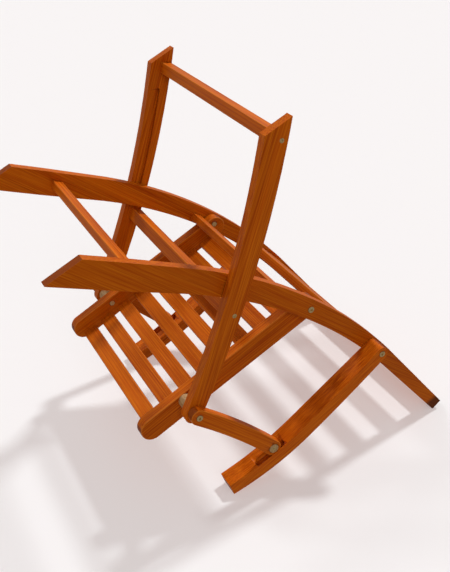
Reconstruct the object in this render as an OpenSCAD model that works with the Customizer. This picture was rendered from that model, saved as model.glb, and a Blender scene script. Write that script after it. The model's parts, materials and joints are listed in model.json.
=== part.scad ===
// Folding armchair in oiled hardwood: curved back stiles, bowed rear legs, slatted seat,
// arms on curved posts. X is the width, the front faces -Y, Z is up, in millimetres.
// Side-plane points are [y, z] pairs measured from the tip of the front foot.

/* [Overall] */
// Width over the arms
chair_w = 590; // [540:1:680]
// Thickness of the stiles, legs and posts
board_t = 20.5; // [16:0.5:26]
// Gap between the seat rails and the stiles
rail_gap = 2; // [1:0.5:4]
// Gap between the stiles and the legs
leg_gap = 3; // [2:0.5:5]
// Gap between the legs and the arm links
link_gap = 1.5; // [1.5:0.5:4]

/* [Back stiles] */
// Slope of the straight foot part, degrees from the floor
stile_foot_angle = 44.5; // [40:0.5:50]
// Slope of the straight top part, degrees from the floor
stile_top_angle = 75.8; // [70:0.5:82]
// Length of the straight foot part, along the centre line
stile_foot_len = 223.5; // [180:1:270]
// Radius of the bend
stile_bend_r = 1034; // [900:1:1200]
// Length of the whole stile along its centre line
stile_len = 1012; // [1009:1:1090]
// Width at the foot
stile_foot_w = 54.5; // [44:1:62]
// Width at the top
stile_top_w = 26; // [24:1:36]

/* [Back rungs] */
// Height of the front stretcher and the stop rail, along the stile
rung_h = 21; // [16:1:24]
// Depth of the rungs from front to back
rung_d = 17; // [14:1:20]
// Place of the front stretcher along the stile
stretcher_at = 131.5; // [110:1:170]
// Distance of the stop rail below the seat pivot, along the stile
stop_below = 38.5; // [37.5:0.5:60]
// Distance of the stop rail in front of the stile's centre line
stop_front = 7.5; // [0:0.5:10]
// Number of back slats
back_slat_n = 5; // [3:1:5]
// Height of a back slat
back_slat_h = 42; // [30:1:43]
// Distance between back slats, centre to centre
back_slat_pitch = 80; // [60:1:80]
// Distance of the lowest back slat's centre above the seat pivot, along the stile
back_slat_above = 143; // [136:1:150]
// Depth of a back slat
back_slat_d = 18; // [12:1:20]

/* [Seat] */
// Distance between the two seat pivots
seat_span = 301.6; // [270:1:330]
// Fall of the seat towards the back, degrees
seat_fall = 1.8; // [0:0.5:6]
// Height of the rear seat pivot along the stile
seat_pivot_at = 525; // [490:1:550]
// Thickness of a seat rail
rail_t = 24; // [18:1:28]
// Height of a seat rail
rail_h = 48; // [42:1:54]
// Depth of the rail under the pivots
rail_below = 16; // [15:0.5:22]
// Length of the rail in front of the front pivot
rail_front = 110; // [90:1:130]
// Length of the rail behind the rear pivot
rail_rear = 22; // [16:1:24]
// Number of seat slats
seat_slat_n = 8; // [5:1:8]
// Width of a seat slat
seat_slat_w = 33.4; // [26:0.5:38]
// Thickness of a seat slat
seat_slat_t = 14; // [10:0.5:16]
// Distance between seat slats, centre to centre
seat_slat_pitch = 48.6; // [44:0.1:50]
// Distance from the front pivot forward to the first slat's centre
seat_slat_front = 78.3; // [70:1:86]

/* [Rear legs] */
// Distance from the front foot tip back to the middle of the rear foot
leg_foot_at = 478; // [440:1:520]
// Radius of the leg's bow
leg_bow_r = 2178; // [1600:10:4000]
// Width at the foot
leg_foot_w = 48; // [40:1:54]
// Width at the top
leg_top_w = 36; // [32:1:42]
// Height of the foot stretcher along the leg
foot_rung_h = 23; // [16:1:30]
// Depth of the foot stretcher across the leg
foot_rung_d = 23; // [16:1:26]
// Distance of the foot stretcher from the end of the leg
foot_rung_up = 25.5; // [22:0.5:60]
// Height of the upper stretcher along the leg
leg_rung_h = 27; // [20:1:30]
// Depth of the upper stretcher across the leg
leg_rung_d = 21; // [14:1:24]
// Distance of the upper stretcher from the front pivot
leg_rung_at = 209; // [180:1:212]
// Distance of the upper stretcher behind the leg's centre line
leg_rung_back = 6.5; // [0:0.5:9]
// Distance of the leg's top end beyond the front pivot
leg_over = 25; // [20:1:30]
// Width of the groove for the pin
groove_w = 9.5; // [8.5:0.5:12]
// Depth of the groove
groove_deep = 9; // [6:0.5:12]
// Distance from the front pivot to the foot end of the groove
groove_end = 495; // [490:1:510]

/* [Arms] */
// Thickness of an arm
arm_t = 28; // [20:1:30]
// Narrowing of the outer edge at the two ends of an arm
arm_bow = 6; // [0:0.5:10]
// Place of the arm pivot along the stile
arm_pivot_at = 717.5; // [700:1:750]
// Length of the straight rear part of the arm
arm_straight = 224; // [220:1:300]
// Length of the curved front part of the arm
arm_curved = 191; // [150:1:210]
// Slope of the straight part, degrees
arm_slope = 10; // [6:0.5:14]
// Radius of the curved part
arm_bend_r = 685; // [400:10:800]
// Distance of the slot's middle in front of the link's dowel
arm_slot_front = 10; // [0:1:16]
// Length of the slot under the arm
arm_slot_len = 74; // [60:1:90]
// Width of the slot under the arm
arm_slot_w = 22; // [21:0.5:23]
// Depth of the slot
arm_slot_deep = 12; // [6:1:14]

/* [Arm links] */
// Thickness of a link
link_t = 19.5; // [16:0.5:20]
// Width of a link
link_w = 34; // [30:1:38]
// Distance from the front pivot to the link's dowel
link_len = 207.5; // [200:0.5:212]
// Slope of a link, degrees from the floor
link_slope = 65.9; // [62:0.1:70]
// Bow of a link to the back
link_bow = 5; // [0:0.5:8]
// Diameter of the dowel in the top of a link
link_dowel_d = 20; // [16:0.5:20]
// Length of the link's dowel
link_dowel_len = 12; // [8:0.5:16]
// Height of the link's dowel above the link's face
link_dowel_out = 0.8; // [0.4:0.1:0.9]

/* [Hardware] */
// Diameter of a pivot bolt
bolt_d = 8; // [6:0.5:10]
// Running clearance of a bolt in a moving board, on the radius
bolt_fit = 0.06; // [0.02:0.01:0.1]
// Diameter of a bolt head
head_d = 13; // [11:0.5:16]
// Height of a bolt head
head_h = 2.6; // [2:0.1:4]
// Depth that a bolt head stands in the wood
head_sunk = 1.6; // [1:0.1:2.4]
// Diameter of a washer
washer_d = 20; // [16:1:22]
// Diameter of the groove pin
pin_d = 8; // [6:0.5:8]
// Diameter of a slat dowel
dowel_d = 6; // [5:0.5:8]
// Length of a slat dowel
dowel_len = 24; // [16:1:30]
// Diameter of a screw head
screw_head_d = 9; // [7:0.5:10]

/* [Hidden] */
// Layers from the middle out
arm_out = chair_w / 2;
link_in_arm = 4;
link_out = arm_out - link_in_arm;
link_in = link_out - link_t;
leg_out = link_in - link_gap;
leg_in = leg_out - board_t;
stile_out = leg_in - leg_gap;
stile_in = stile_out - board_t;
rail_out = stile_in - rail_gap;
rail_in = rail_out - rail_t;
arm_gap = 1;
arm_in = stile_out + arm_gap;
skin = 0.3;
washer_t = rail_gap - skin;
leg_washer_t = leg_gap - skin - 1;
nut_d = 13;
nut_h = 5;
socket = 10;
recess = 0.5;
arc_steps = 28;

// Stile centre line
stile_foot = [stile_foot_w / 2 / sin(stile_foot_angle), 0];
stile_arc_len = stile_bend_r * (stile_top_angle - stile_foot_angle) * PI / 180;
function along(p, a, d) = [p[0] + d * cos(a), p[1] + d * sin(a)];
function stile_angle(s) = s < stile_foot_len ? stile_foot_angle
  : s < stile_foot_len + stile_arc_len ? stile_foot_angle + (s - stile_foot_len) / stile_bend_r * 180 / PI
  : stile_top_angle;
bend_start = along(stile_foot, stile_foot_angle, stile_foot_len);
function bend_pt(a) = [
  bend_start[0] + stile_bend_r * (sin(a) - sin(stile_foot_angle)),
  bend_start[1] + stile_bend_r * (cos(stile_foot_angle) - cos(a))
];
function stile_pt(s) = s < stile_foot_len ? along(stile_foot, stile_foot_angle, s)
  : s < stile_foot_len + stile_arc_len ? bend_pt(stile_angle(s))
  : along(bend_pt(stile_top_angle), stile_top_angle, s - stile_foot_len - stile_arc_len);
function stile_w(s) = stile_foot_w + (stile_top_w - stile_foot_w) * max(0, min(1, (s - 98) / (stile_len - 98)));

// Pivots
seat_pivot = stile_pt(seat_pivot_at);
arm_pivot = stile_pt(arm_pivot_at);
front_pivot = along(seat_pivot, 180 - seat_fall, seat_span);

// Leg centre line: an arc from the front pivot to the rear foot
leg_foot = [leg_foot_at, 0];
leg_chord = norm(leg_foot - front_pivot);
leg_half = asin(leg_chord / 2 / leg_bow_r);
leg_chord_angle = atan2(leg_foot[1] - front_pivot[1], leg_foot[0] - front_pivot[0]);
leg_start_angle = leg_chord_angle + leg_half;
leg_len = leg_bow_r * 2 * leg_half * PI / 180;
function leg_angle(s) = leg_start_angle - s / leg_bow_r * 180 / PI;
function leg_pt(s) = [
  front_pivot[0] + leg_bow_r * (sin(leg_start_angle) - sin(leg_angle(s))),
  front_pivot[1] - leg_bow_r * (cos(leg_start_angle) - cos(leg_angle(s)))
];
function leg_w(s) = leg_top_w + (leg_foot_w - leg_top_w) * max(0, min(1, s / leg_len));

// Where the stile crosses the leg's centre line, found by halving
function side_of_leg(p) = norm(p - leg_centre) - leg_bow_r;
leg_centre = [
  front_pivot[0] + leg_bow_r * sin(leg_start_angle),
  front_pivot[1] - leg_bow_r * cos(leg_start_angle)
];
function cross_at(low, high, n) = n == 0 ? (low + high) / 2
  : let (mid = (low + high) / 2)
    side_of_leg(stile_pt(mid)) > 0 ? cross_at(low, mid, n - 1) : cross_at(mid, high, n - 1);
pin_at = cross_at(0, seat_pivot_at, 40);
pin_pt = stile_pt(pin_at);
pin_reach = norm(pin_pt - front_pivot);

// Arm centre line, from the pivot to the front end
arm_angle_rear = 180 - arm_slope;
function arm_angle(s) = s < arm_straight ? arm_angle_rear
  : arm_angle_rear + (s - arm_straight) / arm_bend_r * 180 / PI;
arm_bend_start = along(arm_pivot, arm_angle_rear, arm_straight);
function arm_pt(s) = s < arm_straight ? along(arm_pivot, arm_angle_rear, s)
  : [
    arm_bend_start[0] + arm_bend_r * (sin(arm_angle(s)) - sin(arm_angle_rear)),
    arm_bend_start[1] + arm_bend_r * (cos(arm_angle_rear) - cos(arm_angle(s)))
  ];
arm_len = arm_straight + arm_curved;
arm_top = 900;
// Link centre line: an arc from the front pivot to the dowel
function link_pt(u) = along(along(front_pivot, link_slope, u * link_len), link_slope - 90, link_bow * 4 * u * (1 - u));
link_top = link_pt(1);

// Half of the arm's length in plan, and its outer edge there
arm_front_y = arm_pt(arm_len)[0];
arm_mid_y = (arm_pivot[0] + arm_front_y) / 2;
arm_half_y = (arm_pivot[0] - arm_front_y) / 2;
function arm_edge(y) = arm_out - arm_bow * pow((y - arm_mid_y) / arm_half_y, 2);

// Points of a half round that starts in direction a and turns clockwise
cap_steps = 20;
function cap(p, a, r, skip = 1) = [for (i = [skip:cap_steps - skip]) along(p, a - 180 * i / cap_steps, r)];

// Points of the seat in its own line: u forward from the rear pivot, v up from the pivot line
function seat_pt(u, v) = along(along(seat_pivot, 180 - seat_fall, u), 90 - seat_fall, v);
rail_mid = rail_h / 2 - rail_below;

// Middle of the outer box along Y, so that the origin is at the middle of the base
front_most = seat_pt(seat_span + rail_front - rail_h / 2, rail_mid)[0] - rail_h / 2;
rear_most = stile_pt(stile_len)[0] + stile_top_w / 2 * sin(stile_top_angle);
origin_y = (front_most + rear_most) / 2;

wood = [0.72, 0.33, 0.1];
wood_dark = [0.6, 0.25, 0.07];
brass = [0.82, 0.68, 0.38];

// Turns a side-plane outline into a board between two distances from the middle
module board(x0, x1) {
  translate([x0, -origin_y, 0])
    rotate([90, 0, 90])
      linear_extrude(x1 - x0)
        children();
}

// A round bar along X at a side-plane point
module bar(p, x0, x1, d) {
  translate([x0, p[0] - origin_y, p[1]])
    rotate([0, 90, 0])
      cylinder(h = x1 - x0, d = d, $fn = 40);
}

module hex_bar(p, x0, x1, d) {
  translate([x0, p[0] - origin_y, p[1]])
    rotate([0, 90, 0])
      cylinder(h = x1 - x0, d = d, $fn = 6);
}

// Copies a right-side piece to the left side
module both() {
  children();
  mirror([1, 0, 0])
    children();
}

// A rung across the chair: a bar of rectangular section, at a point, turned in the side plane
module rung(p, a, h, d, half) {
  translate([-half, p[0] - origin_y, p[1]])
    rotate([a, 0, 0])
      translate([0, -h / 2, -d / 2])
        cube([2 * half, h, d]);
}

module stile_outline() {
  s = [for (i = [0:arc_steps]) stile_foot_len + stile_arc_len * i / arc_steps];
  all = concat([-60, 0, 98], s, [stile_len]);
  polygon(concat(
    [for (v = all) along(stile_pt(v), stile_angle(v) + 90, stile_w(v) / 2)],
    [for (i = [len(all) - 1:-1:0]) along(stile_pt(all[i]), stile_angle(all[i]) - 90, stile_w(all[i]) / 2)]
  ));
}

module stile() {
  color(wood)
    difference() {
      board(-stile_out, -stile_in)
        intersection() {
          stile_outline();
          translate([-100, 0])
            square([900, 1200]);
        }
      bar(seat_pivot, -stile_out - 1, -stile_in + 1, bolt_d + 2 * bolt_fit);
      bar(seat_pivot, -stile_out - 1, -stile_out + head_sunk, head_d + 2 * recess);
      bar(arm_pivot, -stile_out - 1, -stile_in + 1, bolt_d + 2 * bolt_fit);
      bar(arm_pivot, -stile_in - nut_h, -stile_in + 1, nut_d + 2 * recess);
      bar(pin_pt, -stile_out - 1, -stile_out + pin_in, pin_d);
      rung_sockets();
    }
}

module front_rung() {
  rung(stile_pt(stretcher_at), stile_angle(stretcher_at), rung_h, rung_d, stile_in + socket);
}

module stop_rung() {
  p = along(stile_pt(stop_at), stile_angle(stop_at) + 90, stop_front);
  rung(p, stile_angle(stop_at), rung_h, rung_d, stile_in + socket);
}

module rung_sockets() {
  front_rung();
  stop_rung();
  for (i = [0:back_slat_n - 1])
    back_slat_shape(i);
}

stop_at = seat_pivot_at - stop_below;
function back_slat_at(i) = seat_pivot_at + back_slat_above + i * back_slat_pitch;

module back_slat_shape(i) {
  s = back_slat_at(i);
  rung(stile_pt(s), stile_angle(s), back_slat_h, back_slat_d, stile_in + socket);
}

module back_slat(i) {
  color(wood)
    if (i < back_slat_n)
      back_slat_shape(i);
}

module front_stretcher() {
  color(wood)
    front_rung();
}

module stop_rail() {
  color(wood)
    stop_rung();
}

// Stub pins that stand towards the leg grooves and stay out of them
pin_in = 12;
pin_short = 0.5;
module slide_pins() {
  color(brass)
    both()
      bar(pin_pt, -leg_in + pin_short, -stile_out + pin_in, pin_d);
}

hex_d = 5.8;
hex_deep = 1.8;
// A bolt with a round head that has a hexagonal drive
module bolt(p, head_x, tip_x) {
  color(brass)
    difference() {
      union() {
        bar(p, head_x, head_x + head_h, head_d);
        bar(p, head_x + head_h, tip_x, bolt_d);
      }
      hex_bar(p, head_x - 1, head_x + hex_deep, hex_d);
    }
}

module nut(p, x0, x1) {
  color(brass)
    difference() {
      hex_bar(p, x0, x1, nut_d);
      bar(p, x0 - 1, x1 + 1, bolt_d);
    }
}

module washer(p, x0, x1, d) {
  color(brass)
    difference() {
      bar(p, x0, x1, d);
      bar(p, x0 - 1, x1 + 1, bolt_d + 2 * bolt_fit);
    }
}

module seat_bolts() {
  both()
    bolt(seat_pivot, -stile_out + head_sunk - head_h, -rail_in);
}

module seat_nuts() {
  both()
    nut(seat_pivot, -rail_in - nut_h, -rail_in);
}

module arm_bolts() {
  both()
    bolt(arm_pivot, -arm_edge(arm_pivot[0]) - head_h + head_sunk, -stile_in);
}

module arm_nuts() {
  both()
    nut(arm_pivot, -stile_in - nut_h, -stile_in);
}

module seat_washers() {
  both()
    washer(seat_pivot, -stile_in, -stile_in + washer_t, washer_d);
}

// A wood screw with a flat head, set flush in the face at x0
screw_len = 34;
screw_d = 4;
screw_head_h = 2;
module screw(p, x0, len) {
  color(brass)
    difference() {
      union() {
        bar(p, x0, x0 + screw_head_h, screw_head_d);
        bar(p, x0 + screw_head_h, x0 + len, screw_d);
      }
      hex_bar(p, x0 - 1, x0 + screw_head_h / 2, screw_d);
    }
}

module screw_hole(p, x0, len) {
  bar(p, x0 - 1, x0 + screw_head_h, screw_head_d);
  bar(p, x0 - 1, x0 + len, screw_d);
}

module rail_outline() {
  r = rail_h / 2;
  rear = seat_pt(r - rail_rear, rail_mid);
  front = seat_pt(seat_span + rail_front - r, rail_mid);
  polygon(concat(cap(rear, 90 - seat_fall, r, 0), cap(front, 270 - seat_fall, r, 0)));
}

function slat_u(i) = seat_span + seat_slat_front - i * seat_slat_pitch;
slat_v = rail_h - rail_below - seat_slat_t / 2;

module seat_rail() {
  color(wood)
    difference() {
      board(-rail_out, -rail_in)
        rail_outline();
      bar(seat_pivot, -rail_out - 1, -rail_in + 1, bolt_d + 2 * bolt_fit);
      bar(seat_pivot, -rail_in - nut_h - skin, -rail_in + 1, nut_d + 2 * recess);
      bar(front_pivot, -rail_out - 1, -rail_in + 1, bolt_d + 2 * bolt_fit);
      bar(front_pivot, -rail_in - nut_h, -rail_in + 1, nut_d + 2 * recess);
      for (i = [0:seat_slat_n - 1])
        bar(seat_pt(slat_u(i), slat_v), -rail_in - dowel_len / 2, -rail_in + 1, dowel_d);
    }
}

module seat_slat(i) {
  color(wood)
    if (i < seat_slat_n)
      difference() {
        rung(seat_pt(slat_u(i), slat_v), -seat_fall, seat_slat_w, seat_slat_t, rail_in);
        both()
          bar(seat_pt(slat_u(i), slat_v), -rail_in - 1, -rail_in + dowel_len / 2, dowel_d);
      }
}

module slat_dowels() {
  color(wood_dark)
    both()
      for (i = [0:seat_slat_n - 1])
        bar(seat_pt(slat_u(i), slat_v), -rail_in - dowel_len / 2, -rail_in + dowel_len / 2, dowel_d);
}

module front_bolts() {
  both()
    bolt(front_pivot, -link_out - head_h + head_sunk, -rail_in);
}

module front_nuts() {
  both()
    nut(front_pivot, -rail_in - nut_h, -rail_in);
}

spacer_d = 30;
// Sleeves that fill the stile's layer between the seat rail and the leg
module front_spacers() {
  color(wood_dark)
    both()
      difference() {
        bar(front_pivot, -leg_in + skin + leg_washer_t, -rail_out, spacer_d);
        bar(front_pivot, -leg_in, -rail_out + 1, bolt_d + 2 * bolt_fit);
      }
}

module front_washers() {
  both() {
    washer(front_pivot, -leg_in + skin, -leg_in + skin + leg_washer_t, washer_d);
    washer(front_pivot, -link_in + skin, -leg_out - skin, washer_d);
  }
}

leg_below = 60;
module leg_outline() {
  s = [for (i = [0:arc_steps]) (leg_len + leg_below) * i / arc_steps];
  top = along(front_pivot, leg_start_angle + 180, leg_over - leg_top_w / 2);
  polygon(concat(
    [for (v = s) along(leg_pt(v), leg_angle(v) + 90, leg_w(v) / 2)],
    [for (i = [len(s) - 1:-1:0]) along(leg_pt(s[i]), leg_angle(s[i]) - 90, leg_w(s[i]) / 2)],
    cap(top, leg_start_angle - 90, leg_top_w / 2, 0)
  ));
}

groove_start = pin_reach - groove_w / 2;

module groove_outline() {
  s = [for (i = [0:arc_steps]) groove_start + (groove_end - groove_start) * i / arc_steps];
  polygon(concat(
    [for (v = s) along(leg_pt(v), leg_angle(v) + 90, groove_w / 2)],
    cap(leg_pt(groove_end), leg_angle(groove_end) + 90, groove_w / 2),
    [for (i = [len(s) - 1:-1:0]) along(leg_pt(s[i]), leg_angle(s[i]) - 90, groove_w / 2)],
    cap(leg_pt(groove_start), leg_angle(groove_start) - 90, groove_w / 2)
  ));
}

// The foot stretcher lies just inside the legs' rear edges
foot_rung_s = leg_len - foot_rung_up;
rung_wall = 1;
foot_rung_back = leg_w(foot_rung_s) / 2 - foot_rung_d / 2 - rung_wall;
function behind_leg(s, d) = along(leg_pt(s), leg_angle(s) + 90, d);
foot_rung_pt = behind_leg(foot_rung_s, foot_rung_back);
upper_rung_pt = behind_leg(leg_rung_at, leg_rung_back);

module foot_rung() {
  rung(foot_rung_pt, leg_angle(foot_rung_s), foot_rung_h, foot_rung_d, leg_in + socket);
}

module upper_rung() {
  rung(upper_rung_pt, leg_angle(leg_rung_at), leg_rung_h, leg_rung_d, leg_in + socket);
}

module leg() {
  color(wood)
    difference() {
      board(-leg_out, -leg_in)
        intersection() {
          leg_outline();
          translate([-100, 0])
            square([900, 900]);
        }
      board(-leg_in - groove_deep, -leg_in + 1)
        groove_outline();
      bar(front_pivot, -leg_out - 1, -leg_in + 1, bolt_d + 2 * bolt_fit);
      foot_rung();
      upper_rung();
      screw_hole(foot_rung_pt, -leg_out, screw_len);
      screw_hole(upper_rung_pt, -leg_out, screw_len);
    }
}

module foot_stretcher() {
  color(wood)
    difference() {
      foot_rung();
      both()
        screw_hole(foot_rung_pt, -leg_out, screw_len);
    }
}

module leg_stretcher() {
  color(wood)
    difference() {
      upper_rung();
      both()
        screw_hole(upper_rung_pt, -leg_out, screw_len);
    }
}

module leg_screws() {
  both() {
    screw(foot_rung_pt, -leg_out, screw_len);
    screw(upper_rung_pt, -leg_out, screw_len);
  }
}

module arm_outline() {
  s = concat([0], [for (i = [0:arc_steps / 2]) arm_straight + arm_curved * i / (arc_steps / 2)]);
  polygon(concat(
    [for (v = s) along(arm_pt(v), arm_angle(v) + 90, arm_t / 2)],
    [for (i = [len(s) - 1:-1:0]) along(arm_pt(s[i]), arm_angle(s[i]) - 90, arm_t / 2)],
    cap(arm_pivot, arm_angle_rear - 90, arm_t / 2)
  ));
}

// The arm from above: straight inside, and bowed outside
arm_spare = 40;
module arm_plan() {
  y = [for (i = [0:20]) arm_mid_y + (arm_half_y + arm_t / 2) * (1 - i / 10)];
  polygon(concat(
    [[-arm_in, y[0] + arm_spare], [-arm_edge(y[0]), y[0] + arm_spare]],
    [for (v = y) [-arm_edge(v), v]],
    [[-arm_edge(y[20]), y[20] - arm_spare], [-arm_in, y[20] - arm_spare]]
  ));
}

// The slot under the arm lies along the arm, around the top of the link
slot_s = (arm_pivot[0] - link_top[0]) / cos(arm_slope) + arm_slot_front;
slot_angle = arm_angle(slot_s) - 180;
slot_x = (link_in + link_out) / 2;
module arm_slot() {
  p = along(arm_pt(slot_s), arm_angle(slot_s) + 90, arm_t / 2);
  run = arm_slot_len - arm_slot_w;
  translate([-slot_x, p[0] - origin_y, p[1]])
    rotate([slot_angle, 0, 0]) {
      for (k = [-1, 1])
        translate([0, k * run / 2, -arm_t])
          cylinder(h = arm_slot_deep + arm_t, d = arm_slot_w, $fn = 32);
      translate([-arm_slot_w / 2, -run / 2, -arm_t])
        cube([arm_slot_w, run, arm_slot_deep + arm_t]);
    }
}

module arm() {
  color(wood)
    difference() {
      intersection() {
        board(-arm_out, -arm_in)
          arm_outline();
        translate([0, -origin_y, 0])
          linear_extrude(arm_top)
            arm_plan();
      }
      bar(arm_pivot, -arm_out - 1, -arm_in + 1, bolt_d + 2 * bolt_fit);
      bar(arm_pivot, -arm_out - 1, -arm_edge(arm_pivot[0]) + head_sunk, head_d + 2 * recess);
      arm_slot();
    }
}

module link_outline() {
  u = [for (i = [0:arc_steps / 2]) i / (arc_steps / 2)];
  polygon(concat(
    [for (v = u) along(link_pt(v), link_slope + 90, link_w / 2)],
    cap(link_top, link_slope + 90, link_w / 2),
    [for (i = [len(u) - 1:-1:0]) along(link_pt(u[i]), link_slope - 90, link_w / 2)],
    cap(front_pivot, link_slope - 90, link_w / 2)
  ));
}

dowel_face = link_out + link_dowel_out;
dowel_screw_len = 24;
module link() {
  color(wood)
    difference() {
      board(-link_out, -link_in)
        link_outline();
      bar(front_pivot, -link_out - 1, -link_in + 1, bolt_d + 2 * bolt_fit);
      bar(front_pivot, -link_out - 1, -link_out + head_sunk, head_d + 2 * recess);
      bar(link_top, -link_out - 1, -dowel_face + link_dowel_len, link_dowel_d);
      bar(link_top, -link_out, -link_in + 1, screw_d);
    }
}

module link_dowel() {
  color(wood_dark)
    difference() {
      bar(link_top, -dowel_face, -dowel_face + link_dowel_len, link_dowel_d);
      screw_hole(link_top, -dowel_face, link_dowel_len + 1);
    }
}

module dowel_screw() {
  screw(link_top, -dowel_face, min(dowel_screw_len, dowel_face - link_in));
}

module left() {
  mirror([1, 0, 0])
    children();
}

stile();  // right_stile
left() stile();  // left_stile
front_stretcher();
stop_rail();
back_slat(0);  // back_slat_1
back_slat(1);  // back_slat_2
back_slat(2);  // back_slat_3
back_slat(3);  // back_slat_4
back_slat(4);  // top_rail
slide_pins();
seat_bolts();
seat_nuts();
arm_bolts();
arm_nuts();
seat_washers();
seat_rail();  // right_seat_rail
left() seat_rail();  // left_seat_rail
seat_slat(0);  // seat_slat_1
seat_slat(1);  // seat_slat_2
seat_slat(2);  // seat_slat_3
seat_slat(3);  // seat_slat_4
seat_slat(4);  // seat_slat_5
seat_slat(5);  // seat_slat_6
seat_slat(6);  // seat_slat_7
seat_slat(7);  // seat_slat_8
slat_dowels();
front_bolts();
front_nuts();
front_spacers();
front_washers();
leg();  // right_leg
left() leg();  // left_leg
foot_stretcher();
leg_stretcher();
leg_screws();
arm();  // right_arm
left() arm();  // left_arm
link();  // right_link
link_dowel();  // right_link_dowel
dowel_screw();  // right_dowel_screw
left() link();  // left_link
left() link_dowel();  // left_link_dowel
left() dowel_screw();  // left_dowel_screw
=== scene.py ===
import json
import math
import bmesh
import bpy
from mathutils import Matrix, Vector


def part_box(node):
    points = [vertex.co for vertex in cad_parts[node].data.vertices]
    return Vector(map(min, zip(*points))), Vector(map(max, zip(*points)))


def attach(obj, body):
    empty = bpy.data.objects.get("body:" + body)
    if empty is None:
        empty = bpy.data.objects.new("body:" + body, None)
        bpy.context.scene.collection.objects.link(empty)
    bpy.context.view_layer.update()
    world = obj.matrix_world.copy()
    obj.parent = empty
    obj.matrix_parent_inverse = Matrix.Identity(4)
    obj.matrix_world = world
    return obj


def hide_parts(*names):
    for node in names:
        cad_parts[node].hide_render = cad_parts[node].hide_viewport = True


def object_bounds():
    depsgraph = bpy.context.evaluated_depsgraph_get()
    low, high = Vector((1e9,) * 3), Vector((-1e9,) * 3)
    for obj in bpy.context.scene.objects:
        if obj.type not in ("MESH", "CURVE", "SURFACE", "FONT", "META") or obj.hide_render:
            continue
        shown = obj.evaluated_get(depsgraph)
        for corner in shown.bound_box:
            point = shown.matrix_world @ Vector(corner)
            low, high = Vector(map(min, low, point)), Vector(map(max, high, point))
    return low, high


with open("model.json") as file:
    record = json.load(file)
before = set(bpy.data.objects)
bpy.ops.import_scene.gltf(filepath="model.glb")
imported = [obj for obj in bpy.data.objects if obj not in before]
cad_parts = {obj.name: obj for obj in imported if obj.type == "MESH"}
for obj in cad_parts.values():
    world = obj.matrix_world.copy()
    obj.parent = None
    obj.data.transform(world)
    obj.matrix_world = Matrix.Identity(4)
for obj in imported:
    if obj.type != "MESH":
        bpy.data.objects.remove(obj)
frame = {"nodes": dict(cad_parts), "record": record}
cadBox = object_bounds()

nodeBody = {node: body for body, nodes in frame["record"]["behaviour"]["bodies"].items() for node in nodes}
nodeSlot = {part["node"]: part["material_slot"] for part in frame["record"]["subparts"]}

# grain is the direction of the wood in the side plane, in degrees from the back; None runs across the chair
boards = {
    "stile": {"grain": 62.0, "edge": 0.0018, "tone": 0.97, "darkEnd": True},
    "leg": {"grain": -45.0, "edge": 0.0018, "tone": 1.0, "darkEnd": False},
    "arm": {"grain": -5.0, "edge": 0.0026, "tone": 1.08, "darkEnd": False},
    "link": {"grain": 66.0, "edge": 0.0018, "tone": 1.03, "darkEnd": False},
    "rail": {"grain": -1.8, "edge": 0.0018, "tone": 0.95, "darkEnd": False},
    "rung": {"grain": None, "edge": 0.0014, "tone": 1.04, "darkEnd": False},
    "slat": {"grain": None, "edge": 0.0016, "tone": 1.0, "darkEnd": False},
}

woodLook = {
    "dark": (0.34, 0.040, 0.0012), "mid": (0.55, 0.092, 0.0020), "light": (0.76, 0.190, 0.006),
    "worn": (0.72, 0.22, 0.03), "wornMost": 0.45, "endGrain": (0.15, 0.024, 0.004), "endGrainMost": 0.7,
    "fineScale": (6.0, 420.0, 420.0), "bandScale": (1.6, 34.0, 34.0), "poreScale": (26.0, 900.0, 900.0),
    "toneLeast": 0.93, "toneSpread": 0.14, "toneStep": 0.618,  # every board is its own piece of timber
    "roughness": (0.30, 0.46), "bump": 0.22, "bumpDepth": 0.0004,
    "gloss": 0.14, "sheenTint": (1.0, 0.52, 0.16, 1.0), "coat": 0.02, "coatRoughness": 0.3,
}
# a near-black band mixed into the colour over the top end of each stile, by its depth below the chair's
# highest point
topEndBand = {"color": (0.045, 0.012, 0.006), "start": 0.036, "full": 0.024, "most": 0.82}

brassLook = {
    "bright": (0.83, 0.62, 0.30), "dull": (0.42, 0.27, 0.11), "scale": 260.0,
    "roughness": (0.22, 0.48), "metallic": 0.85, "bump": 0.15, "bumpDepth": 0.0002,
}
dowelLook = {
    "dark": (0.33, 0.17, 0.06), "light": (0.60, 0.37, 0.16), "scale": (60.0, 500.0, 500.0),
    "roughness": (0.38, 0.6), "bump": 0.2, "bumpDepth": 0.0003,
}

floorLook = {
    "size": 24.0,
    "upturned": {"color": (0.50, 0.53, 0.54), "glow": (0.41, 0.35, 0.34)},
    "standing": {"color": (0.55, 0.55, 0.55), "glow": (0.52, 0.49, 0.48)},
    "standingBelow": 0.0005,
}
# the plane that the upturned chair stands on: through its arms' front tips and its stiles' top ends
upturned = {"tilt": 25.5, "height": 0.633}


def addNode(tree, kind, **inputs):
    node = tree.nodes.new(kind)
    for key, value in inputs.items():
        if key in node.inputs:
            node.inputs[key].default_value = value
    return node


def grainCoordinates(tree, turn, scale, shift):
    where = tree.nodes.new("ShaderNodeTexCoord")
    turned = tree.nodes.new("ShaderNodeMapping")
    turned.inputs["Rotation"].default_value = turn
    turned.inputs["Location"].default_value = shift
    stretched = tree.nodes.new("ShaderNodeMapping")
    stretched.inputs["Scale"].default_value = scale
    tree.links.new(where.outputs["Object"], turned.inputs["Vector"])
    tree.links.new(turned.outputs["Vector"], stretched.inputs["Vector"])
    return stretched.outputs["Vector"]


def noiseOn(tree, vector, detail, rough, distortion=0.0):
    noise = addNode(tree, "ShaderNodeTexNoise", Scale=1.0, Detail=detail, Roughness=rough,
                    Distortion=distortion)
    tree.links.new(vector, noise.inputs["Vector"])
    return noise.outputs["Fac"]


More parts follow.
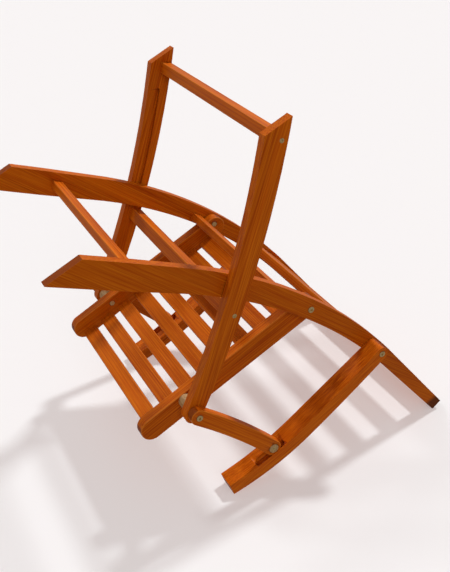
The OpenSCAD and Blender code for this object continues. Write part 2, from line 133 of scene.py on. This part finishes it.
def remap(tree, value, fromLow, fromHigh, low, high):
    node = tree.nodes.new("ShaderNodeMapRange")
    limits = {"From Min": fromLow, "From Max": fromHigh, "To Min": low, "To Max": high}
    for key, limit in limits.items():
        node.inputs[key].default_value = limit
    tree.links.new(value, node.inputs["Value"])
    return node.outputs["Result"]


def blendColor(tree, fac, first, second):
    node = tree.nodes.new("ShaderNodeMix")
    node.data_type = "RGBA"
    for value, socket in ((first, node.inputs[6]), (second, node.inputs[7])):
        if isinstance(value, tuple):
            socket.default_value = (*value, 1.0)
        else:
            tree.links.new(value, socket)
    tree.links.new(fac, node.inputs[0])
    return node.outputs[2]


def addBump(tree, shader, height, look):
    bump = addNode(tree, "ShaderNodeBump", Strength=look["bump"], Distance=look["bumpDepth"])
    tree.links.new(height, bump.inputs["Height"])
    tree.links.new(bump.outputs["Normal"], shader.inputs["Normal"])


def startMaterial(name):
    material = bpy.data.materials.new(name)
    material.use_nodes = True
    return material, material.node_tree, material.node_tree.nodes["Principled BSDF"]


def woodMaterial(name, kind, seed):
    board = boards[kind]
    look = woodLook
    material, tree, shader = startMaterial(name)
    turn = (0.0, 0.0, 0.0)
    if board["grain"] is not None:  # bring the side-plane direction round to X, where the grain runs
        turn = (math.radians(-board["grain"]), 0.0, math.radians(-90.0))
    shift = (seed * 0.37, seed * 0.61, seed * 0.23)
    bands = noiseOn(tree, grainCoordinates(tree, turn, look["bandScale"], shift), 3.0, 0.55, 0.6)
    fine = noiseOn(tree, grainCoordinates(tree, turn, look["fineScale"], shift), 5.0, 0.6)
    pores = noiseOn(tree, grainCoordinates(tree, turn, look["poreScale"], shift), 2.0, 0.5)
    tone = board["tone"] * (look["toneLeast"] + look["toneSpread"] * ((seed * look["toneStep"]) % 1.0))
    shade = tuple(channel * tone for channel in look["mid"])
    lighter = tuple(channel * tone for channel in look["light"])
    color = blendColor(tree, remap(tree, bands, 0.32, 0.68, 0.0, 1.0), look["dark"], shade)
    color = blendColor(tree, remap(tree, fine, 0.36, 0.72, 0.0, 0.85), color, lighter)
    color = blendColor(tree, remap(tree, pores, 0.62, 0.78, 0.0, 0.55), color, look["dark"])
    marks = (("edgeWear", look["worn"], look["wornMost"]),
             ("endGrain", look["endGrain"], look["endGrainMost"]))
    for layer, marked, most in marks:
        mark = tree.nodes.new("ShaderNodeAttribute")
        mark.attribute_name = layer
        color = blendColor(tree, remap(tree, mark.outputs["Fac"], 0.0, 1.0, 0.0, most), color, marked)
    if board["darkEnd"]:
        # darker towards the stile's top end: a near-black band mixed into the colour there
        where = tree.nodes.new("ShaderNodeTexCoord")
        parts = tree.nodes.new("ShaderNodeSeparateXYZ")
        tree.links.new(where.outputs["Object"], parts.inputs["Vector"])
        start, full = (cadBox[1][2] - topEndBand[edge] for edge in ("start", "full"))
        banded = remap(tree, parts.outputs["Z"], start, full, 0.0, topEndBand["most"])
        color = blendColor(tree, banded, color, topEndBand["color"])
    tree.links.new(color, shader.inputs["Base Color"])
    tree.links.new(remap(tree, fine, 0.3, 0.7, *look["roughness"]), shader.inputs["Roughness"])
    shader.inputs["Specular IOR Level"].default_value = look["gloss"]
    shader.inputs["Specular Tint"].default_value = look["sheenTint"]
    shader.inputs["Coat Weight"].default_value = look["coat"]
    shader.inputs["Coat Roughness"].default_value = look["coatRoughness"]
    addBump(tree, shader, fine, look)
    return material


def brassMaterial():
    look = brassLook
    material, tree, shader = startMaterial("worn_brass")
    marks = noiseOn(tree, grainCoordinates(tree, (0, 0, 0), (look["scale"],) * 3, (0, 0, 0)), 6.0, 0.65)
    color = blendColor(tree, remap(tree, marks, 0.38, 0.66, 0.0, 1.0), look["bright"], look["dull"])
    tree.links.new(color, shader.inputs["Base Color"])
    tree.links.new(remap(tree, marks, 0.35, 0.7, *look["roughness"]), shader.inputs["Roughness"])
    shader.inputs["Metallic"].default_value = look["metallic"]
    addBump(tree, shader, marks, look)
    return material


def dowelMaterial():
    look = dowelLook
    material, tree, shader = startMaterial("turned_dowel")
    grain = noiseOn(tree, grainCoordinates(tree, (0, 0, 0), look["scale"], (0, 0, 0)), 4.0, 0.6)
    color = blendColor(tree, remap(tree, grain, 0.35, 0.68, 0.0, 1.0), look["dark"], look["light"])
    tree.links.new(color, shader.inputs["Base Color"])
    tree.links.new(remap(tree, grain, 0.3, 0.7, *look["roughness"]), shader.inputs["Roughness"])
    addBump(tree, shader, grain, look)
    return material


def kindOf(node):
    for kind in ("stile", "rail", "leg", "arm", "link"):
        if node in (f"left_{kind}", f"right_{kind}", f"left_seat_{kind}", f"right_seat_{kind}"):
            return kind
    if node.startswith(("seat_slat", "back_slat")) or node == "top_rail":
        return "slat"
    return "rung"


finish = {
    "weld": 1e-5, "flat": math.radians(0.6), "sharp": math.radians(35), "shade": math.radians(32),
    "segments": 3, "shortest": 0.0021, "around": 0.002, "endGrainFrom": 0.75,
}
# the boards whose ends stand in sockets of the stiles and of the legs
socketed = {
    "stile": ["front_stretcher", "stop_rail", "back_slat_1", "back_slat_2", "back_slat_3", "back_slat_4",
              "top_rail"],
    "leg": ["foot_stretcher", "leg_stretcher"],
}


def cadObject(node):
    found = frame["nodes"][node]
    return found if isinstance(found, bpy.types.Object) else bpy.data.objects[found]


def inSocket(middle, kind):
    for other in socketed.get(kind, []):
        low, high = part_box(other)
        near = finish["around"]
        if all(low[i] - near < middle[i] < high[i] + near for i in (1, 2)):
            return True
    return False


def easedBoard(node, kind, material):
    # a welded copy of the board with its long edges rounded over
    board = boards[kind]
    mesh = cadObject(node).data.copy()
    bm = bmesh.new()
    bm.from_mesh(mesh)
    bmesh.ops.remove_doubles(bm, verts=bm.verts, dist=finish["weld"])
    bmesh.ops.dissolve_limit(bm, angle_limit=finish["flat"], verts=bm.verts, edges=bm.edges)
    bmesh.ops.recalc_face_normals(bm, faces=bm.faces)
    wear = bm.faces.layers.float.new("edgeWear")
    ends = bm.faces.layers.float.new("endGrain")
    chosen = []
    for edge in bm.edges:
        if len(edge.link_faces) != 2 or edge.calc_face_angle() < finish["sharp"]:
            continue
        middle = (edge.verts[0].co + edge.verts[1].co) / 2
        if edge.calc_length() > finish["shortest"] and edge.is_convex and not inSocket(middle, kind):
            chosen.append(edge)
    rounded = bmesh.ops.bevel(bm, geom=chosen, offset=board["edge"], offset_type="OFFSET",
                              segments=finish["segments"], profile=0.5, affect="EDGES",
                              clamp_overlap=True, material=-1)
    for face in rounded["faces"]:
        face[wear] = 1.0
    if board["grain"] is None:
        along = Vector((1.0, 0.0, 0.0))
    else:
        angle = math.radians(board["grain"])
        along = Vector((0.0, math.cos(angle), math.sin(angle)))
    for face in bm.faces:
        face.smooth = True
        if abs(face.normal.dot(along)) > finish["endGrainFrom"]:
            face[ends] = 1.0
    bmesh.ops.triangulate(bm, faces=[face for face in bm.faces if len(face.verts) > 4])
    bm.to_mesh(mesh)
    bm.free()
    mesh.materials.clear()
    mesh.materials.append(material)
    mesh.set_sharp_from_angle(angle=finish["shade"])
    piece = bpy.data.objects.new(node + "_board", mesh)
    flatter = piece.modifiers.new("flat_faces", "WEIGHTED_NORMAL")
    flatter.keep_sharp = True
    bpy.context.scene.collection.objects.link(piece)
    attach(piece, nodeBody[node])
    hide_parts(node)


print("boards")
seed = 1
for node in nodeBody:
    if nodeSlot[node] == "hardwood":
        kind = kindOf(node)
        easedBoard(node, kind, woodMaterial("hardwood_" + node, kind, seed))
        seed += 1

print("hardware")
shared = {"brass": brassMaterial(), "dowel_wood": dowelMaterial()}
for node in nodeBody:
    if nodeSlot[node] in shared:
        piece = cadObject(node)
        piece.data.materials.clear()
        piece.data.materials.append(shared[nodeSlot[node]])

print("floors")


def oneSidedFloor(name, look, matrix):
    # shows only to a camera on its own side, and shades nothing
    bpy.ops.mesh.primitive_plane_add(size=floorLook["size"])
    floor = bpy.context.object
    floor.name = name
    floor.data.transform(matrix)
    material = bpy.data.materials.new(name)
    material.use_nodes = True
    tree = material.node_tree
    tree.nodes.clear()
    side = tree.nodes.new("ShaderNodeNewGeometry")
    matte = addNode(tree, "ShaderNodeBsdfDiffuse", Color=(*look["color"], 1.0))
    glow = addNode(tree, "ShaderNodeEmission", Color=(*look["glow"], 1.0), Strength=1.0)
    pale = tree.nodes.new("ShaderNodeAddShader")
    clear = tree.nodes.new("ShaderNodeBsdfTransparent")
    mixed = tree.nodes.new("ShaderNodeMixShader")
    out = tree.nodes.new("ShaderNodeOutputMaterial")
    tree.links.new(side.outputs["Backfacing"], mixed.inputs["Fac"])
    tree.links.new(matte.outputs["BSDF"], pale.inputs[0])
    tree.links.new(glow.outputs["Emission"], pale.inputs[1])
    tree.links.new(pale.outputs["Shader"], mixed.inputs[1])
    tree.links.new(clear.outputs["BSDF"], mixed.inputs[2])
    tree.links.new(mixed.outputs["Shader"], out.inputs["Surface"])
    floor.data.materials.append(material)
    floor.visible_shadow = False
    floor.visible_diffuse = False
    floor.visible_glossy = False


tilt = math.radians(upturned["tilt"])
armTip = Vector((0.0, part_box("left_arm")[0][1], upturned["height"]))
floorUp = Vector((0.0, math.sin(tilt), -math.cos(tilt)))  # from that plane towards the chair
floorSide = Vector((1.0, 0.0, 0.0))
floorAhead = floorUp.cross(floorSide)
turned = Matrix((floorSide, floorAhead, floorUp)).transposed().to_4x4()
turned.translation = armTip
oneSidedFloor("floor_upturned", floorLook["upturned"], turned)
level = Matrix.Translation((0.0, 0.0, -floorLook["standingBelow"]))
oneSidedFloor("floor_standing", floorLook["standing"], level)

print("camera and lights")
view = {"lens": 57.67, "place": (-1.5775, -0.1919, -0.7870), "right": (-0.4346, 0.7970, 0.4193),
        "up": (0.4299, 0.5927, -0.6811)}
right = Vector(view["right"]).normalized()
up = Vector(view["up"])
up = (up - right * up.dot(right)).normalized()
turn = Matrix((right, up, right.cross(up))).transposed().to_4x4()
turn.translation = Vector(view["place"])
cameraData = bpy.data.cameras.new("camera")
cameraData.lens = view["lens"]
cameraData.sensor_width = 36.0
camera = bpy.data.objects.new("camera", cameraData)
camera.matrix_world = turn
bpy.context.scene.collection.objects.link(camera)
bpy.context.scene.camera = camera

world = bpy.data.worlds.new("studio")
bpy.context.scene.world = world
world.use_nodes = True
studio = {"tint": (1.0, 0.96, 0.94, 1.0), "lighting": 0.30, "backdrop": 0.92}
worldTree = world.node_tree
background = worldTree.nodes["Background"]
background.inputs["Color"].default_value = studio["tint"]
seen = worldTree.nodes.new("ShaderNodeLightPath").outputs["Is Camera Ray"]
brightness = remap(worldTree, seen, 0.0, 1.0, studio["lighting"], studio["backdrop"])  # paler than it lights
worldTree.links.new(brightness, background.inputs["Strength"])

# the way to each lamp: across the chair, along the upturned chair's floor, and above it
lamps = {
    "key": {"to": (0.38, 0.80, 1.0), "spread": 6.0, "power": 2.2},
    "second": {"to": (0.75, -0.55, 1.15), "spread": 12.0, "power": 0.60},
    "fill": {"to": (-1.0, -0.25, 0.62), "spread": 30.0, "power": 0.62},
    "overhead": {"to": (0.35, -0.5, -1.6), "spread": 30.0, "power": 0.9},  # for the chair on its own feet
}
floorAlong = Vector((0.0, math.cos(tilt), math.sin(tilt)))
for name, lamp in lamps.items():
    side, along, height = lamp["to"]
    toLamp = floorSide * side + floorAlong * along + floorUp * height
    data = bpy.data.lights.new(name, "SUN")
    data.angle = math.radians(lamp["spread"])
    data.energy = lamp["power"]
    light = bpy.data.objects.new(name, data)
    light.rotation_euler = (-toLamp).to_track_quat("-Z", "Y").to_euler()
    bpy.context.scene.collection.objects.link(light)
bpy.context.scene.view_settings.view_transform = "Standard"
